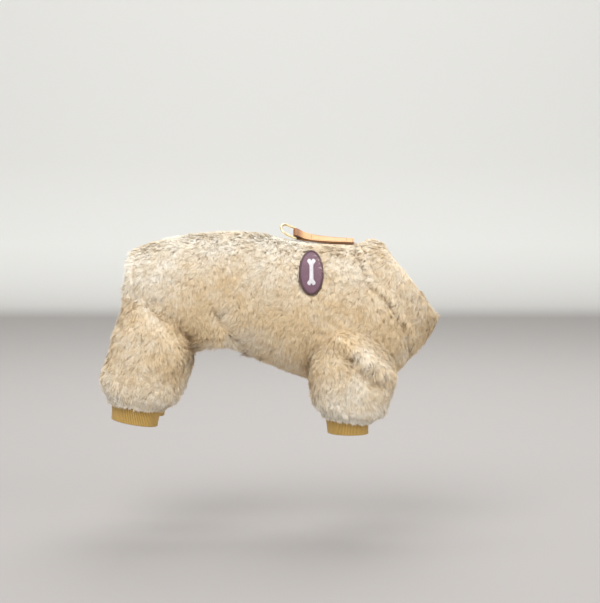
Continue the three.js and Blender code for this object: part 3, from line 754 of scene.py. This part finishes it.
def over_badge(u, v, lift):
    """Points over the badge: u forward and v up as seen from the side, in metres from its middle,
    and lift outwards, along the normal of the fitted surface."""
    a, b, c, d, e, f = BADGE["fit"]
    y = a + b * u + c * v + d * u * u + e * u * v + f * v * v
    slope_u = b + 2 * d * u + e * v
    slope_v = c + e * u + 2 * f * v
    normal = unit(np.stack([slope_u, -np.ones_like(u), slope_v], axis=-1))
    place = np.stack([BADGE["middle"][0] + u, y, BADGE["middle"][2] + v], axis=-1)
    return place + np.asarray(lift)[..., None] * normal


def under_badge(places):
    """Which places lie behind the badge, where it presses the pile flat."""
    half = BADGE["half"]
    u = (places[:, 0] - BADGE["middle"][0]) / half[0]
    v = (places[:, 2] - BADGE["middle"][2]) / half[2]
    return (u * u + v * v < BADGE_REACH) & (places[:, 1] < 0)


def thread_group():
    """The node group that makes rows of thread: a wave over a vector, put out as a height."""
    name = "thread rows"
    if name in bpy.data.node_groups:
        return bpy.data.node_groups[name]
    group = bpy.data.node_groups.new(name, "ShaderNodeTree")
    group.interface.new_socket("Rows", in_out="INPUT", socket_type="NodeSocketFloat")
    group.interface.new_socket("Place", in_out="INPUT", socket_type="NodeSocketFloat")
    group.interface.new_socket("Height", in_out="OUTPUT", socket_type="NodeSocketFloat")
    nodes, links = group.nodes, group.links
    inside, out = nodes.new("NodeGroupInput"), nodes.new("NodeGroupOutput")
    turns = nodes.new("ShaderNodeMath")
    turns.operation = "MULTIPLY"
    wave = nodes.new("ShaderNodeMath")
    wave.operation = "SINE"
    links.new(inside.outputs["Rows"], turns.inputs[0])
    links.new(inside.outputs["Place"], turns.inputs[1])
    links.new(turns.outputs[0], wave.inputs[0])
    links.new(wave.outputs[0], out.inputs["Height"])
    return group


def thread_material(name, dark, light, rows):
    """Thread laid in rows along the mesh's own "row" attribute, darker in the hollows between the rows: a
    painted shade.
    """
    material, nodes, links, shader = new_material(name)
    thread = nodes.new("ShaderNodeGroup")
    thread.node_tree = thread_group()
    thread.inputs["Rows"].default_value = rows * 2 * math.pi
    links.new(attribute(nodes, "row"), thread.inputs["Place"])
    height = thread.outputs["Height"]
    # Dark where a row's wave is low, in the hollows between the rows: painted shade
    tone = ramp(nodes, links, height, [(0, tuple(dark)), (0.7, tuple(light))])
    tones = [(0.35, (0.78, 0.76, 0.8)), (0.65, (1.1, 1.1, 1.1))]
    mask = ramp(nodes, links, patches(nodes, links, 90, 700, 0.5), tones)
    links.new(mixed(nodes, links, "MULTIPLY", 1.0, tone, mask), shader.inputs["Base Color"])
    bump = nodes.new("ShaderNodeBump")
    bump.inputs["Strength"].default_value = 0.5
    bump.inputs["Distance"].default_value = 0.25 * MM
    links.new(height, bump.inputs["Height"])
    links.new(bump.outputs["Normal"], shader.inputs["Normal"])
    shader.inputs["Roughness"].default_value = 0.6
    shader.inputs["Sheen Weight"].default_value = 0.2
    return material


class SUIT_OT_badge(bpy.types.Operator):
    """Makes the oval badge: its filled field, its overlocked edge and the raised bone"""

    bl_idname = "suit.badge"
    bl_label = "Badge"

    def execute(self, context):
        badge = context.scene.suit_badge
        half_u, half_v = BADGE["half"][0] - 0.2 * MM, BADGE["half"][2] - 0.2 * MM
        rings, around = 40, 128
        share = np.linspace(0.02, 1, rings)[:, None]
        turn = np.linspace(0, 2 * np.pi, around, endpoint=False)[None, :]
        u, v = half_u * share * np.cos(turn), half_v * share * np.sin(turn)
        front = over_badge(u, v, 0.15 * MM * (1 - share**6) * np.ones_like(u))
        back = over_badge(u, v, np.full_like(u, -1.6 * MM))[::-1]
        points, faces = closed_ends(np.concatenate([front, back]))
        row = np.concatenate([v, v[::-1]]).ravel() / MM
        faces = outward(points, faces)
        field = new_mesh("badge_field", points, faces, {"row": np.append(row, [0, 0])})
        finish_piece(
            field,
            "suit",
            "badge_twill",
            # The field's colour at 0.62 for the hollows between the rows: painted shade
            thread_material("badge fill", [0.62 * c for c in badge.field], badge.field, 1.4),
            "badge",
        )
        around, section = 360, 14
        turn = np.linspace(0, 2 * np.pi, around, endpoint=False)[:, None]
        bend = np.linspace(0, 2 * np.pi, section, endpoint=False)[None, :]
        stitch = 1 + 0.06 * np.sin(turn * 90)
        inward = 1.25 * MM * (1 - np.cos(bend)) * stitch
        lift = 0.85 * MM * np.sin(bend) * stitch - 0.35 * MM
        u = (half_u + 0.1 * MM - inward) * np.cos(turn)
        v = (half_v + 0.1 * MM - inward) * np.sin(turn)
        points = over_badge(u, v, lift)
        faces = outward(points, [grid_faces(around, section, round_rows=True)])
        row = np.broadcast_to(turn, (around, section)) / (2 * np.pi)
        border = new_mesh("badge_border", points, faces, {"row": row})
        # The edge's colour at 0.6 for the hollows between the stitches: painted shade
        border_hollow_shade = [0.6 * c for c in badge.border]
        edge_thread = thread_material("badge edge", border_hollow_shade, badge.border, 90)
        finish_piece(border, "suit", "badge_thread", edge_thread)
        self.bone(badge)
        return {"FINISHED"}

    def bone(self, badge):
        """The bone: a grid over its length and breadth, swollen at both ends, notched at its tips
        and domed, whose rim goes down into the field."""
        low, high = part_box("badge_bone")
        half_long = (high.z - low.z) / 2 - 0.1 * MM
        knob = (high.x - low.x) / 2 - 0.1 * MM
        shaft = 2.1 * MM
        middle_u = (low.x + high.x) / 2 - BADGE["middle"][0]
        middle_v = (low.z + high.z) / 2 - BADGE["middle"][2]
        s = np.linspace(-1, 1, 96)[:, None]
        t = np.linspace(-1, 1, 32)[None, :]
        swell = 1 / (1 + np.exp(-(np.abs(s) - 0.66) * 18))
        round_end = np.sqrt(np.clip(1 - np.clip((np.abs(s) - 0.72) / 0.28, 0, 1) ** 2.4, 0, 1))
        width = (shaft + (knob - shaft) * swell) * (0.35 + 0.65 * round_end)
        notch = 0.16 * np.exp(-((t / 0.3) ** 2)) * np.abs(s) ** 8
        v = half_long * s * (1 - notch)
        u = width * t + 0 * s
        edge = np.clip(1 - np.abs(t) ** 4, 0, 1) * np.clip((1 - np.abs(s) ** 12), 0, 1)
        top = over_badge(middle_u + u, middle_v + v, 0.9 * MM * np.sqrt(edge) - 0.15 * MM)
        under = over_badge(middle_u + u, middle_v + v, np.full_like(u, -0.2 * MM))[:, ::-1]
        points, faces = closed_ends(np.concatenate([top, under], axis=1))
        faces = outward(points, faces)
        row = np.append(np.concatenate([v, v[:, ::-1]], axis=1).ravel() / MM, [0, 0])
        bone = new_mesh("badge_bone_stitches", points, faces, {"row": row})
        # The bone's colour at 0.75 for the hollows between the rows: painted shade
        thread = thread_material("bone thread", [0.75 * c for c in badge.thread], badge.thread, 1.6)
        finish_piece(bone, "suit", "badge_thread", thread, "badge_bone")


# Cuffs: the middle of each ring, its half sizes along and across the suit, and how far its front
# is turned down, from the hidden top to the open bottom, in millimetres and degrees
CUFFS = {
    "hind": [
        (-121.78, -167.61, 26.75, 22.5, 9),
        (-123.44, -172.61, 26.75, 22.5, 9),
        (-126.11, -191.61, 24.61, 20.7, 10),
    ],
    "front": [(96.2, -182.3, 23.5, 20.5, 9), (96.9, -187.2, 23.5, 20.5, 9), (98.0, -202.7, 21.6, 18.9, 1)],
}
CUFF_SIDEWAYS = {"hind": 38.4, "front": 39.9}


def cuff_rings(end, heights, insets):
    """Ring middles, half sizes and turns at the given shares of the cuff's height, moved in."""
    table = np.array(CUFFS[end])
    places = np.array([-0.26, 0, 1])
    values = np.stack([np.interp(heights, places, table[:, i]) for i in range(5)], axis=-1)
    values[:, 2:4] -= insets[:, None]
    return values


def cuff_piece(end, side, knit):
    """A rib-knit tube: ovals along a profile that runs down inside, round the edge and up outside,
    each oval waved by the ribs."""
    down = np.linspace(-0.24, 0.94, 14)
    bend = np.linspace(0, np.pi, 7)
    inside, edge = np.full(len(down), 2.3), 1.2 + 1.1 * np.cos(bend[1:-1])
    outside = 0.1 + 0.5 * np.sin(np.pi * np.clip(down[::-1], 0, 1))
    inset = np.concatenate([inside, edge, outside])
    height = np.concatenate([down, 0.94 + 0.055 * np.sin(bend[1:-1]), down[::-1]])
    values = cuff_rings(end, height, inset)
    columns = knit.ribs * 5
    turn = np.linspace(0, 2 * np.pi, columns, endpoint=False)[None, :]
    rib = 0.5 + 0.5 * np.cos(knit.ribs * turn)
    depth = knit.depth / MM * (1 - np.sqrt(rib)) * np.clip(np.abs(height - 0.97) * 12, 0.2, 1)[:, None]
    wide, thick = values[:, 2:3] - depth, values[:, 3:4] - depth
    along = wide * np.cos(turn)
    tilt = np.radians(values[:, 4:5])
    x = values[:, 0:1] + along * np.cos(tilt)
    z = values[:, 1:2] - along * np.sin(tilt)
    y = SIDES[side] * (CUFF_SIDEWAYS[end] + thick * np.sin(turn))
    points = np.stack([x, y, z], axis=-1) * MM
    faces = outward(points, [grid_faces(*points.shape[:2], round_rows=True)])
    shape = points.shape[:2]
    attributes = {"rib": np.broadcast_to(rib, shape), "height": np.broadcast_to(height[:, None], shape)}
    return new_mesh(f"{end}_cuff_{side}_knit", points, faces, attributes)


def knit_material(knit):
    """Rib knit: darker between the ribs, a painted shade in the grooves, with small loops along each rib."""
    if "rib knit" in bpy.data.materials:
        return bpy.data.materials["rib knit"]
    material, nodes, links, shader = new_material("rib knit")
    yarn, groove_shade = tuple(knit.yarn), tuple(knit.groove_shade)
    # Groove colour where rib is 0, the deepest part of a groove: painted shade
    tone = ramp(nodes, links, attribute(nodes, "rib"), [(0, groove_shade), (0.6, yarn)])
    tones = [(0.35, (0.8, 0.8, 0.8)), (0.65, (1.12, 1.1, 1.05))]
    mask = ramp(nodes, links, patches(nodes, links, 60, 900, 0.55), tones)
    links.new(mixed(nodes, links, "MULTIPLY", 0.8, tone, mask), shader.inputs["Base Color"])
    thread = nodes.new("ShaderNodeGroup")
    thread.node_tree = thread_group()
    thread.inputs["Rows"].default_value = 2 * math.pi * 16
    links.new(attribute(nodes, "height"), thread.inputs["Place"])
    bump = nodes.new("ShaderNodeBump")
    bump.inputs["Strength"].default_value = 0.4
    bump.inputs["Distance"].default_value = 0.2 * MM
    links.new(thread.outputs["Height"], bump.inputs["Height"])
    links.new(bump.outputs["Normal"], shader.inputs["Normal"])
    shader.inputs["Roughness"].default_value = 0.9
    shader.inputs["Sheen Weight"].default_value = 0.3
    return material


class SUIT_OT_cuffs(bpy.types.Operator):
    """Makes the four rib-knit cuffs"""

    bl_idname = "suit.cuffs"
    bl_label = "Cuffs"

    def execute(self, context):
        knit = context.scene.suit_knit
        for end in CUFFS:
            for side in SIDES:
                piece = cuff_piece(end, side, knit)
                finish_piece(piece, "suit", "rib_knit", knit_material(knit), f"{end}_cuff_{side}")
        return {"FINISHED"}


# Leash tab: its middle line, by eighths from its front end to the ring's bar, in millimetres
TAB_FRONT, TAB_RUN = 105.6, 62.0
TAB_MIDDLE_Z = (-3.87, -3.42, -2.92, -2.35, -1.55, -0.58, 0.75, 2.36, 5.49)
TAB_ROLL = math.radians(38)
TAB_FRONT_ROLL = math.radians(20)
TAB_HALF_WIDTH = 6.4
RING_LIFT = math.radians(28)  # of the ring's plane above the tab


def tab_frame(share):
    """The tab's middle line at shares of its run, the direction across it and the one off its face."""
    share = np.asarray(share, float)
    roll = TAB_FRONT_ROLL + np.clip(share, 0, 1) ** 2 * (TAB_ROLL - TAB_FRONT_ROLL)
    z = np.interp(share, np.linspace(0, 1, 9), TAB_MIDDLE_Z) + 1.2 * (1 - share)
    middle = np.stack([TAB_FRONT - share * TAB_RUN, np.zeros_like(share), z], axis=-1)
    zero = np.zeros_like(share)
    across = np.stack([zero, np.cos(roll), np.sin(roll)], axis=-1)
    off = np.stack([zero, -np.sin(roll), np.cos(roll)], axis=-1)
    return middle, across, off


def leather_piece(tab):
    """The strap: a rounded flat section swept along its folded path, back under the ring's bar,
    round it and forward again on top."""
    layer = tab.layer / MM
    loop = 2.45
    flat = np.linspace(0.006, 0.97, 60)
    spread = layer / 2 + 0.05 + (loop - layer / 2 - 0.05) * np.clip((flat - 0.72) / 0.25, 0, 1) ** 2
    bend = np.linspace(-np.pi / 2, np.pi / 2, 18)[1:-1]
    share = np.concatenate([flat, 1 + loop * np.cos(bend) / TAB_RUN, flat[::-1]])
    height = np.concatenate([-spread, loop * np.sin(bend), spread[::-1]])
    middle, across, off = tab_frame(np.minimum(share, 1))
    middle[:, 0] = TAB_FRONT - share * TAB_RUN
    line = middle + height[:, None] * off
    run = unit(np.gradient(line, axis=0))
    face = unit(np.cross(across, run))
    turn = np.linspace(0, 2 * np.pi, 28, endpoint=False)
    wide = np.sign(np.cos(turn)) * np.abs(np.cos(turn)) ** 0.25
    deep = np.sign(np.sin(turn)) * np.abs(np.sin(turn)) ** 0.55
    taper = 1 - 0.12 * np.clip(1 - share / 0.06, 0, 1) ** 2
    points = line[:, None] + (wide * TAB_HALF_WIDTH * taper[:, None])[..., None] * across[:, None]
    points = points + (deep * layer / 2)[None, :, None] * face[:, None]
    flat_points, faces = closed_ends(points * MM)
    faces = outward(flat_points, faces)
    edge = np.append(np.broadcast_to(np.abs(wide), points.shape[:2]).ravel(), [1, 1])
    ends = np.append(np.broadcast_to(share[:, None], points.shape[:2]).ravel(), [0, 0])
    return new_mesh("tab_leather", flat_points, faces, {"edge": edge, "run": ends})


def stitch_piece():
    """Short stitches, two rows at the tab's front end and one that closes the loop: each an
    ellipsoid half sunk in the leather, copied to all its places at once."""
    places = []
    for share, count in ((0.035, 5), (0.13, 5), (0.74, 5)):
        places += [(share, offset) for offset in np.linspace(-4.4, 4.4, count)]
    places += [(share, side * 4.9) for side in (-1, 1) for share in np.linspace(0.17, 0.70, 14)]
    share, offset = np.array(places).T
    middle, across, off = tab_frame(share)
    layer = 1.45 + 1.75 * np.clip((share - 0.72) / 0.25, 0, 1) ** 2
    centre = middle + offset[:, None] * across + layer[:, None] * off
    run = unit(np.cross(across, off))
    rows, columns = 7, 10
    polar = np.linspace(0.01, np.pi - 0.01, rows)[:, None]
    turn = np.linspace(0, 2 * np.pi, columns, endpoint=False)[None, :]
    x, y, z = np.sin(polar) * np.cos(turn), np.sin(polar) * np.sin(turn), np.cos(polar) + 0 * turn
    shape = np.stack([x, y, z], axis=-1)
    crossing = (np.abs(offset) < 4.6)[:, None, None]
    long_axis = np.where(crossing[..., 0], across, run)
    short_axis = np.where(crossing[..., 0], run, across)
    points = centre[:, None, None] + 0.28 * shape[None, ..., :1] * short_axis[:, None, None]
    points = points + 0.22 * shape[None, ..., 1:2] * off[:, None, None]
    points = points + 0.85 * shape[None, ..., 2:] * long_axis[:, None, None]
    one = grid_faces(rows, columns)
    faces = (one[None] + (rows * columns) * np.arange(len(centre))[:, None, None]).reshape(-1, 4)
    return new_mesh("tab_stitches", points * MM, [faces])


def leather_material(tab):
    """Leather with a pebbled grain, dark painted edges and painted shade towards the loop's fold."""
    material, nodes, links, shader = new_material("tan leather")
    face = tuple(tab.leather)
    tones = [(0.35, (0.8, 0.76, 0.7)), (0.65, (1.1, 1.08, 1.05))]
    mask = ramp(nodes, links, patches(nodes, links, 45, 500, 0.4), tones)
    worn = mixed(nodes, links, "MULTIPLY", 1.0, face, mask)
    edge = ramp(nodes, links, attribute(nodes, "edge"), [(0.93, (0, 0, 0)), (0.985, (1, 1, 1))])
    both = mixed(nodes, links, "MIX", edge, worn, tuple(tab.edge))
    # Darker towards the loop round the ring's bar: painted shade at the fold
    loop_fold_shade = ramp(nodes, links, attribute(nodes, "run"), [(0.86, (1, 1, 1)), (0.97, (0.36, 0.26, 0.2))])
    links.new(mixed(nodes, links, "MULTIPLY", 1.0, both, loop_fold_shade), shader.inputs["Base Color"])
    places = nodes.new("ShaderNodeTexCoord")
    grain = nodes.new("ShaderNodeTexVoronoi")
    grain.inputs["Scale"].default_value = 1400
    links.new(places.outputs["Object"], grain.inputs["Vector"])
    bump = nodes.new("ShaderNodeBump")
    bump.inputs["Strength"].default_value = 0.3
    bump.inputs["Distance"].default_value = 0.15 * MM
    links.new(grain.outputs["Distance"], bump.inputs["Height"])
    links.new(bump.outputs["Normal"], shader.inputs["Normal"])
    shader.inputs["Roughness"].default_value = 0.5
    return material


def plain_material(name, rgb, roughness, metallic=0.0):
    """A material of one colour with faint wear in its roughness."""
    material, nodes, links, shader = new_material(name)
    shader.inputs["Base Color"].default_value = (*rgb, 1)
    shader.inputs["Metallic"].default_value = metallic
    low, high = (0.8 * roughness,) * 3, (1.2 * roughness,) * 3
    wear = ramp(nodes, links, patches(nodes, links, 120, 900, 0.5), [(0.3, low), (0.7, high)])
    links.new(wear, shader.inputs["Roughness"])
    return material


def ring_piece(tab):
    """The D ring: a round section swept along a straight bar, two corners, two arms and a half
    circle. Its plane holds the hinge's axis and a direction that is RING_LIFT above the tab."""
    half, corner = 8.2, 1.7
    centre = tab.ring / MM - half
    quarter = np.linspace(0, np.pi / 2, 9)
    arc = np.linspace(0, np.pi, 60)
    near = np.stack([half - corner + corner * np.sin(quarter), corner - corner * np.cos(quarter)], axis=-1)
    bow = np.stack([half * np.cos(arc), centre + half * np.sin(arc)], axis=-1)
    far = near[::-1] * (-1, 1)
    bar = np.stack([np.linspace(corner - half, half - corner, 24)[1:-1], np.zeros(22)], axis=-1)
    line = np.concatenate([bar, near, bow, far])
    axis = np.array(HINGE["axis"])
    off = np.array([0, -math.sin(TAB_ROLL), math.cos(TAB_ROLL)])
    away = math.cos(RING_LIFT) * np.array([-1, 0, 0]) + math.sin(RING_LIFT) * off
    flat = unit(np.cross(axis, away))
    run = unit(np.roll(line, -1, axis=0) - np.roll(line, 1, axis=0))
    turn = np.linspace(0, 2 * np.pi, 20, endpoint=False)
    side = run[:, ::-1] * (1, -1)
    spot = line[:, None] + tab.wire / MM / 2 * np.cos(turn)[None, :, None] * side[:, None]
    lift = np.broadcast_to(tab.wire / MM / 2 * np.sin(turn), spot.shape[:2])
    points = spot[..., :1] * axis + spot[..., 1:] * away + lift[..., None] * flat
    points = points * MM + np.array(HINGE["pos_m"])
    faces = outward(points, [grid_faces(*points.shape[:2], round_rows=True)])
    return new_mesh("ring_wire", points, faces)


class SUIT_OT_tab(bpy.types.Operator):
    """Makes the leather leash tab, its stitches and the metal ring in its loop"""

    bl_idname = "suit.tab"
    bl_label = "Leash tab and ring"

    def execute(self, context):
        tab = context.scene.suit_tab
        finish_piece(leather_piece(tab), "suit", "leather", leather_material(tab), "leash_tab")
        finish_piece(stitch_piece(), "suit", "leather", plain_material("tab thread", tab.stitch, 0.7))
        metal = plain_material("ring metal", tab.metal, 0.3, 1.0)
        finish_piece(ring_piece(tab), "ring", "ring_metal", metal, "d_ring")
        return {"FINISHED"}


class SUIT_OT_stage(bpy.types.Operator):
    """Makes the floor with its wall, the lights and the camera"""

    bl_idname = "suit.stage"
    bl_label = "Stage"

    def execute(self, context):
        stage = context.scene.suit_stage
        bend = np.linspace(0, np.pi / 2, 24)
        radius, wall = 0.5, 3.8
        depth = np.concatenate([[-3.5], wall - radius + radius * np.sin(bend), [wall]])
        height = np.concatenate([[0], radius - radius * np.cos(bend), [2.8]]) - stage.drop
        across = np.linspace(-3.5, 3.5, 2)
        x = np.broadcast_to(across, (len(depth), 2))
        points = np.stack([x, np.repeat(depth[:, None], 2, 1), np.repeat(height[:, None], 2, 1)], axis=-1)
        floor = new_mesh("floor", points, [grid_faces(len(depth), 2, round_columns=False)[:, ::-1]])
        material, nodes, links, shader = new_material("floor")
        places = nodes.new("ShaderNodeTexCoord")
        split = nodes.new("ShaderNodeSeparateXYZ")
        links.new(places.outputs["Object"], split.inputs[0])
        share = nodes.new("ShaderNodeMapRange")
        share.inputs["From Min"].default_value = wall - 0.9
        share.inputs["From Max"].default_value = wall - 0.1
        links.new(split.outputs["Y"], share.inputs["Value"])
        tone = ramp(nodes, links, share.outputs[0], [(0, tuple(stage.floor)), (1, tuple(stage.wall))])
        links.new(tone, shader.inputs["Base Color"])
        shader.inputs["Roughness"].default_value = 0.9
        floor.data.materials.append(material)
        self.light("key light", (-0.6, -1.5, 1.7), 1.6, stage.key)
        self.light("fill light", (1.6, -1.6, 0.9), 1.6, 0.45 * stage.key)
        self.light("back light", (0.3, 1.3, 1.6), 1.4, 0.5 * stage.key)
        self.light("wall light", (0, 0.6, 2.6), 2.2, 1.1 * stage.key, (0, 3.6, 0))
        world = bpy.data.worlds.new("soft surroundings")
        world.use_nodes = True
        background = world.node_tree.nodes["Background"]
        background.inputs["Color"].default_value = (1, 0.99, 0.97, 1)
        background.inputs["Strength"].default_value = 0.55
        context.scene.world = world
        context.scene.view_settings.view_transform = "Standard"
        self.camera(context.scene, stage)
        return {"FINISHED"}

    def light(self, name, place, size, power, target=(0, 0, -0.1)):
        """A square area light that points at the suit's middle, or at another target."""
        light = bpy.data.lights.new(name, "AREA")
        light.size = size
        light.energy = power
        lamp = bpy.data.objects.new(name, light)
        lamp.location = place
        lamp.rotation_euler = (Vector(target) - Vector(place)).to_track_quat("-Z", "Y").to_euler()
        bpy.context.scene.collection.objects.link(lamp)

    def camera(self, scene, stage):
        """The camera, a little above the suit's level and far away on its right side."""
        camera = bpy.data.objects.new("camera", bpy.data.cameras.new("camera"))
        camera.data.lens = stage.lens
        target = Vector((0.0477, 0, -0.0671))
        back = Vector((0, -math.cos(stage.elevation), math.sin(stage.elevation)))
        camera.location = target + stage.distance * back
        camera.rotation_euler = (-back).to_track_quat("-Z", "Y").to_euler()
        scene.collection.objects.link(camera)
        scene.camera = camera


class SUIT_PT_panel(bpy.types.Panel):
    """Lists the jumpsuit's operators"""

    bl_label = "Jumpsuit"
    bl_space_type = "VIEW_3D"
    bl_region_type = "UI"
    bl_category = "Jumpsuit"

    def draw(self, context):
        for operator in OPERATORS:
            self.layout.operator(operator.bl_idname)


SETTINGS = {
    "suit_plush": PlushSettings,
    "suit_knit": KnitSettings,
    "suit_badge": BadgeSettings,
    "suit_tab": TabSettings,
    "suit_stage": StageSettings,
}
OPERATORS = (
    SUIT_OT_body,
    SUIT_OT_collar_and_hems,
    SUIT_OT_legs,
    SUIT_OT_cuffs,
    SUIT_OT_badge,
    SUIT_OT_tab,
    SUIT_OT_stage,
)


def register():
    """Registers the settings, the operators and the panel."""
    for name, group in SETTINGS.items():
        bpy.utils.register_class(group)
        setattr(bpy.types.Scene, name, bpy.props.PointerProperty(type=group))
    for kind in (*OPERATORS, SUIT_PT_panel):
        bpy.utils.register_class(kind)


def unregister():
    """Takes back what register does, in reverse order."""
    for kind in reversed((*OPERATORS, SUIT_PT_panel)):
        bpy.utils.unregister_class(kind)
    for name, group in SETTINGS.items():
        delattr(bpy.types.Scene, name)
        bpy.utils.unregister_class(group)


def main():
    """Makes every piece and the stage."""
    register()
    bpy.ops.suit.body()
    bpy.ops.suit.collar_and_hems()
    bpy.ops.suit.legs()
    bpy.ops.suit.cuffs()
    bpy.ops.suit.badge()
    bpy.ops.suit.tab()
    bpy.ops.suit.stage()


if __name__ == "__main__":
    main()
